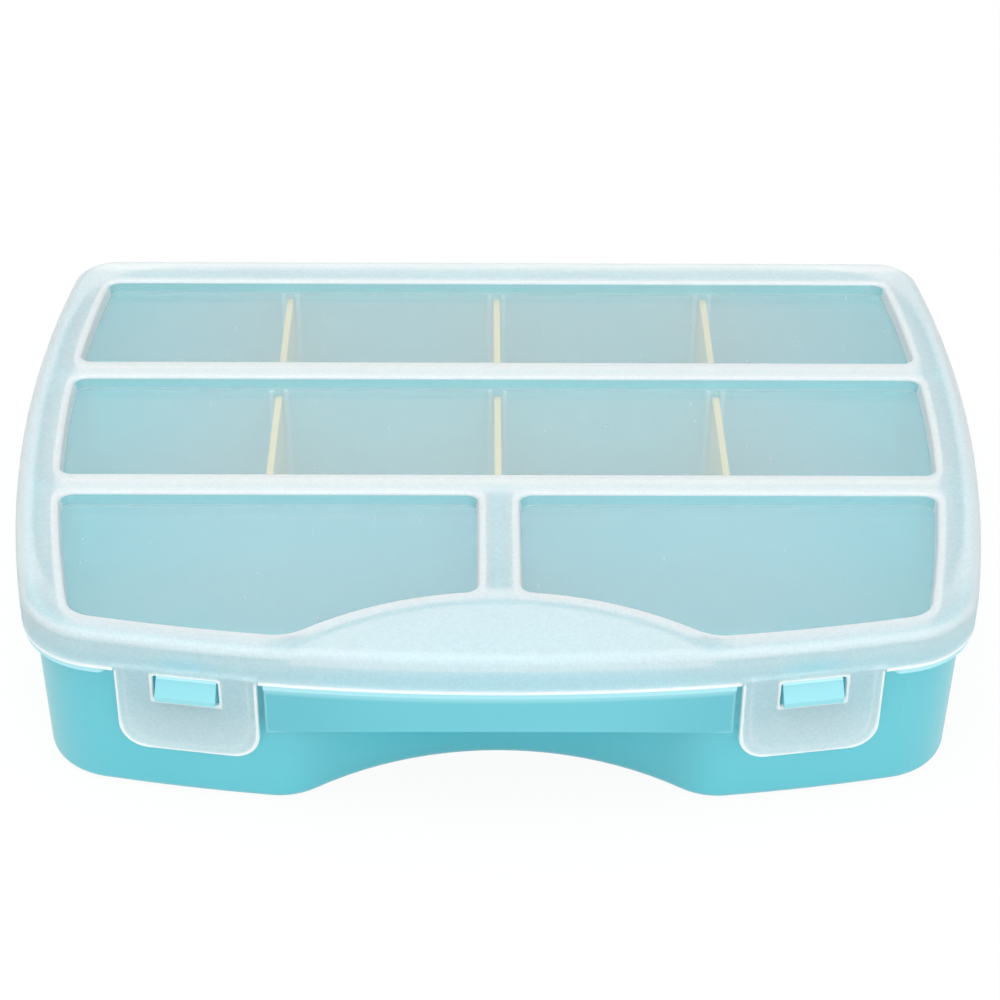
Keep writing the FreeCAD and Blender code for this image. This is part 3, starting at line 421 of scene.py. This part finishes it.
# The skirt hangs from the frame all round, over the tray's lip, with a painted glow along its cut hem. It has
# painted light, whiter under the front rounding, a little painted turquoise all over, and painted turquoise
# patches above the latch tabs where the tray's hooks show through it.
HEM, SKIRT_TOP, BROW = (46.6, 47.0), (53.0, 56.0), (49.5, 53.5)
HOOK_PATCH, HOOK_PATCH_HEIGHTS, HOOK_PATCH_SOFT = (2.0, 12.0), (48.5, 52.5), 2.0
hem = 1 - lid_finish.ramp(z, HEM)
skirt = (1 - lid_finish.ramp(z, SKIRT_TOP)) * (1 - panels)
brow = lid_finish.ramp(z, BROW) * at_front
over_hooks = (1 - lid_finish.ramp(abs(along_fold(x, y)), HOOK_PATCH)) * at_front
over_hooks = over_hooks * lid_finish.band(z, HOOK_PATCH_HEIGHTS, HOOK_PATCH_SOFT)

# The lid's finish puts these together: how much painted light and dust whiten each place, how much painted
# turquoise of the tray behind it each place takes, where it is polished clear, and where it is cut, for the
# painted glow in cut edges.
NEAR_WALL_WHITE, HOLLOW_WALL_WHITE, FAR_WALL_WHITE, FOOT_WHITE, DUST_WHITE = 0.35, 0.525, 0.2, 0.4, 0.4
GLOW_WHITE, RIB_WHITE, APRON_WHITE, RIM_WHITE, GRAINY_WHITE_LOSS = 0.3, 0.4, 0.5, 0.5, 0.2
ROUNDING_WHITE, SKIRT_WHITE, BACK_RIM_CUT = (0.2, 0.45), (0.12, 0.32), 0.6
FAR_WALL_TINT, SIDE_WALL_TINT, APRON_TINT, HOOK_PATCH_TINT, SKIRT_TINT = 0.7, 0.4, 0.15, 0.32, 0.18
SIDE_TINT, SIDE_TINT_REACH, FRONT_ROW_TINT, FRONT_ROW_REACH = 0.3, (70.0, 140.0), 0.15, (-40.0, -30.0)
# All of this whitening is painted light, save the dust: highlights, glows and the white of walls, ribs,
# apron, rims, hem and skirt.
whitening = edges + near_walls * NEAR_WALL_WHITE + hollow_wall * HOLLOW_WALL_WHITE + glow * GLOW_WHITE
whitening = whitening + ribs * RIB_WHITE + apron * APRON_WHITE + (outer_rim + back_rim) * RIM_WHITE
whitening = (whitening * frame_top - grainy * GRAINY_WHITE_LOSS).math("MAXIMUM", 0.0)
whitening = whitening + rounding * between(at_front, *ROUNDING_WHITE) + hem + skirt * between(brow, *SKIRT_WHITE)
whitening = whitening * (1 - far_walls) + far_walls * FAR_WALL_WHITE + feet * FOOT_WHITE + dust * DUST_WHITE
# Painted turquoise of the tray behind the lid, on the walls, the panels, the apron, over the hooks and on the
# skirt.
panel_tint = lid_finish.ramp(abs(x), SIDE_TINT_REACH) * SIDE_TINT
panel_tint = panel_tint + (1 - lid_finish.ramp(y, FRONT_ROW_REACH)) * FRONT_ROW_TINT
painted_turquoise = far_walls * FAR_WALL_TINT + side_walls * SIDE_WALL_TINT + panels * panel_tint
painted_turquoise = painted_turquoise + apron * frame_top * APRON_TINT + over_hooks * HOOK_PATCH_TINT + skirt * SKIRT_TINT
polished = (panels + far_walls + side_walls).capped()
cut = hem.math("MAXIMUM", back_rim * BACK_RIM_CUT)
natural_lid = natural_plastic(lid_finish, place, whitening.capped(), polished, painted_turquoise.capped(), cut)
coat(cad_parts["lid"], natural_lid)

# The latch tabs are plates of the lid's plastic that hang from its skirt and catch the tray's hooks in their
# slots. They are frosted, with a painted glow in the cut edge round the plate and the slot, a faint painted
# highlight along an inner line where the plate's edge is thinned, whiter towards their bottom, and a little
# painted turquoise of the tray behind them.
FOLD_Z = 47.2
TAB_HALF, TAB_LENGTH, TAB_CORNER = 20.0, 28.0, 14.0
SLOT_HALF, SLOT_LOW, SLOT_HIGH, SLOT_CORNER = 9.3, -10.2, -1.6, 1.0
TAB_RIM, SLOT_RIM, BELOW_FOLD = (-0.9, -0.6), (0.6, 0.9), (-1.4, -0.6)
THINNING, THINNING_SOFT, THINNING_HIGHLIGHT = (-2.9, -2.3), 0.3, 0.3
TAB_FADE, TAB_WHITE, TAB_TINT = (-22.0, -8.0), (0.08, 0.3), 0.13
tab_finish = Finish("natural_latch_tabs")
place = tab_finish.millimetres()
x, y, z = tab_finish.split(place)
aside = abs(along_fold(x, y))
rise = z - FOLD_Z
plate = farthest([aside - TAB_HALF, -TAB_LENGTH - rise], TAB_CORNER)
slot = farthest([aside - SLOT_HALF, rise - SLOT_HIGH, SLOT_LOW - rise], SLOT_CORNER)
# Painted glow in the cut edges of the plate and the slot, and a painted highlight along the thinned edge.
rims = tab_finish.ramp(plate, TAB_RIM) * (1 - tab_finish.ramp(rise, BELOW_FOLD))
rims = rims + (1 - tab_finish.ramp(slot, SLOT_RIM))
thinning = tab_finish.band(plate, THINNING, THINNING_SOFT) * THINNING_HIGHLIGHT
fade = 1 - tab_finish.ramp(rise, TAB_FADE)
whitening = (rims + thinning + between(fade, *TAB_WHITE)).capped()
natural_tabs = natural_plastic(tab_finish, place, whitening, 0.0, TAB_TINT, rims)
for name in ("latch_left", "latch_right"):
    coat(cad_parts[name], natural_tabs)

# The film folds are the thin webs of the lid's plastic that each tab swings on. Each one fills the gap
# between the notch in the skirt and the tab's rounded top, flush in front.
WEB_HALF, WEB_TOP, WEB_LOW = 20.6, 48.42, 46.9
FACE_AHEAD, PROUD, STATIONS = 0.8, 0.03, 25
BEAD_RADIUS, BEAD_ANGLES = 0.82, [math.radians(degrees) for degrees in (75, 60, 45, 30, 15, 0)]


def film_fold(name, side):
    """One web: a wedge-shaped section swept along the fold, with the bow of the skirt in its upper edge."""
    corners, faces = [], []
    for station in range(STATIONS):
        along = WEB_HALF * (2 * station / (STATIONS - 1) - 1)
        bowed = FACE_AHEAD + PROUD - along ** 2 / (2 * FRONT_RADIUS)
        section = [(FACE_AHEAD + PROUD, WEB_LOW), (FACE_AHEAD + PROUD, FOLD_Z), (bowed, WEB_TOP)]
        section.append((BEAD_RADIUS * math.cos(BEAD_ANGLES[0]), WEB_TOP))
        section += [(BEAD_RADIUS * math.cos(a), FOLD_Z + BEAD_RADIUS * math.sin(a)) for a in BEAD_ANGLES]
        for out, height in section:
            across = FOLD_X + along * math.cos(FOLD_TURN) + out * math.sin(FOLD_TURN)
            back = FOLD_Y + along * math.sin(FOLD_TURN) - out * math.cos(FOLD_TURN)
            corners.append(Vector((side * across, back, height)) * MM)
    count = len(section)
    for station in range(STATIONS - 1):
        for corner in range(count):
            after = (corner + 1) % count
            ring = [station * count + corner, station * count + after]
            faces.append(ring + [index + count for index in reversed(ring)])
    faces += [list(range(count)), list(range(len(corners) - count, len(corners)))]
    mesh = bpy.data.meshes.new(name)
    mesh.from_pydata(corners, [], faces)
    shell = bmesh.new()
    shell.from_mesh(mesh)
    bmesh.ops.recalc_face_normals(shell, faces=shell.faces)
    shell.to_mesh(mesh)
    shell.free()
    mesh.materials.append(natural_tabs)
    web = bpy.data.objects.new(name, mesh)
    bpy.context.scene.collection.objects.link(web)
    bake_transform(web)


film_fold("film_fold_left", -1)
film_fold("film_fold_right", 1)

# The studio is a matt floor that looks white to the camera and in reflections but keeps a soft shadow, the
# room's even light, and two round soft lamps, one overhead and one in front. Its sizes are in metres.
FLOOR_SIZE, FLOOR_GREY, FLOOR_GLOW = 12.0, 0.9, 0.93
WHITE = (1.0, 1.0, 1.0, 1.0)
ROOM_LIGHT = 0.75
bpy.ops.mesh.primitive_plane_add(size=FLOOR_SIZE)
floor = bpy.context.object
floor.name = "floor"
floor_finish = Finish("white_floor")
seen = sum(floor_finish.output("ShaderNodeLightPath", f"Is {kind} Ray")
           for kind in ("Camera", "Glossy", "Transmission")).capped()
matt = floor_finish.add("ShaderNodeBsdfDiffuse", None, Color=(FLOOR_GREY, FLOOR_GREY, FLOOR_GREY, 1.0))[0]
white = floor_finish.add("ShaderNodeEmission", None, Color=WHITE, Strength=1.0)[0]
both = floor_finish.add("ShaderNodeMixShader", None, seen * FLOOR_GLOW, matt, white)[0]
floor.data.materials.append(floor_finish.surface(both))
world = bpy.data.worlds.new("room")
bpy.context.scene.world = world
world.use_nodes = True
background = world.node_tree.nodes["Background"]
background.inputs["Color"].default_value = WHITE
background.inputs["Strength"].default_value = ROOM_LIGHT


def hang_lamp(name, size, power, place):
    """A round soft lamp that faces the box."""
    light = bpy.data.lights.new(name, "AREA")
    light.shape = "DISK"
    light.size = size
    light.energy = power
    lamp = bpy.data.objects.new(name, light)
    bpy.context.scene.collection.objects.link(lamp)
    lamp.location = place
    lamp.rotation_euler = (-lamp.location).to_track_quat("-Z", "Y").to_euler()


hang_lamp("overhead", size=1.2, power=9.0, place=(-0.2, -0.2, 1.4))
hang_lamp("front", size=1.8, power=9.0, place=(0.5, -1.5, 0.8))

# The camera stands in front of the box and looks down on it at the photograph's angle. Its place and its
# turns were worked out from the edges of the lid and the tray.
LENS, SENSOR = 89.92, 36.0
STAND = Vector((-6.4, -625.6, 483.5)) * MM
PITCH, YAW, ROLL = math.radians(35.669), math.radians(-0.65), math.radians(0.51)
view_camera = bpy.data.cameras.new("camera")
view_camera.lens = LENS
view_camera.sensor_width = SENSOR
ahead = Vector((math.sin(-YAW) * math.cos(PITCH), math.cos(YAW) * math.cos(PITCH), -math.sin(PITCH)))
level_right = ahead.cross(Vector((0, 0, 1))).normalized()
level_up = level_right.cross(ahead)
right = math.cos(ROLL) * level_right + math.sin(ROLL) * level_up
up = math.cos(ROLL) * level_up - math.sin(ROLL) * level_right
camera = bpy.data.objects.new("camera", view_camera)
bpy.context.scene.collection.objects.link(camera)
camera.matrix_world = Matrix.Translation(STAND) @ Matrix((right, up, -ahead)).transposed().to_4x4()
bpy.context.scene.camera = camera
bpy.context.scene.view_settings.view_transform = "Standard"
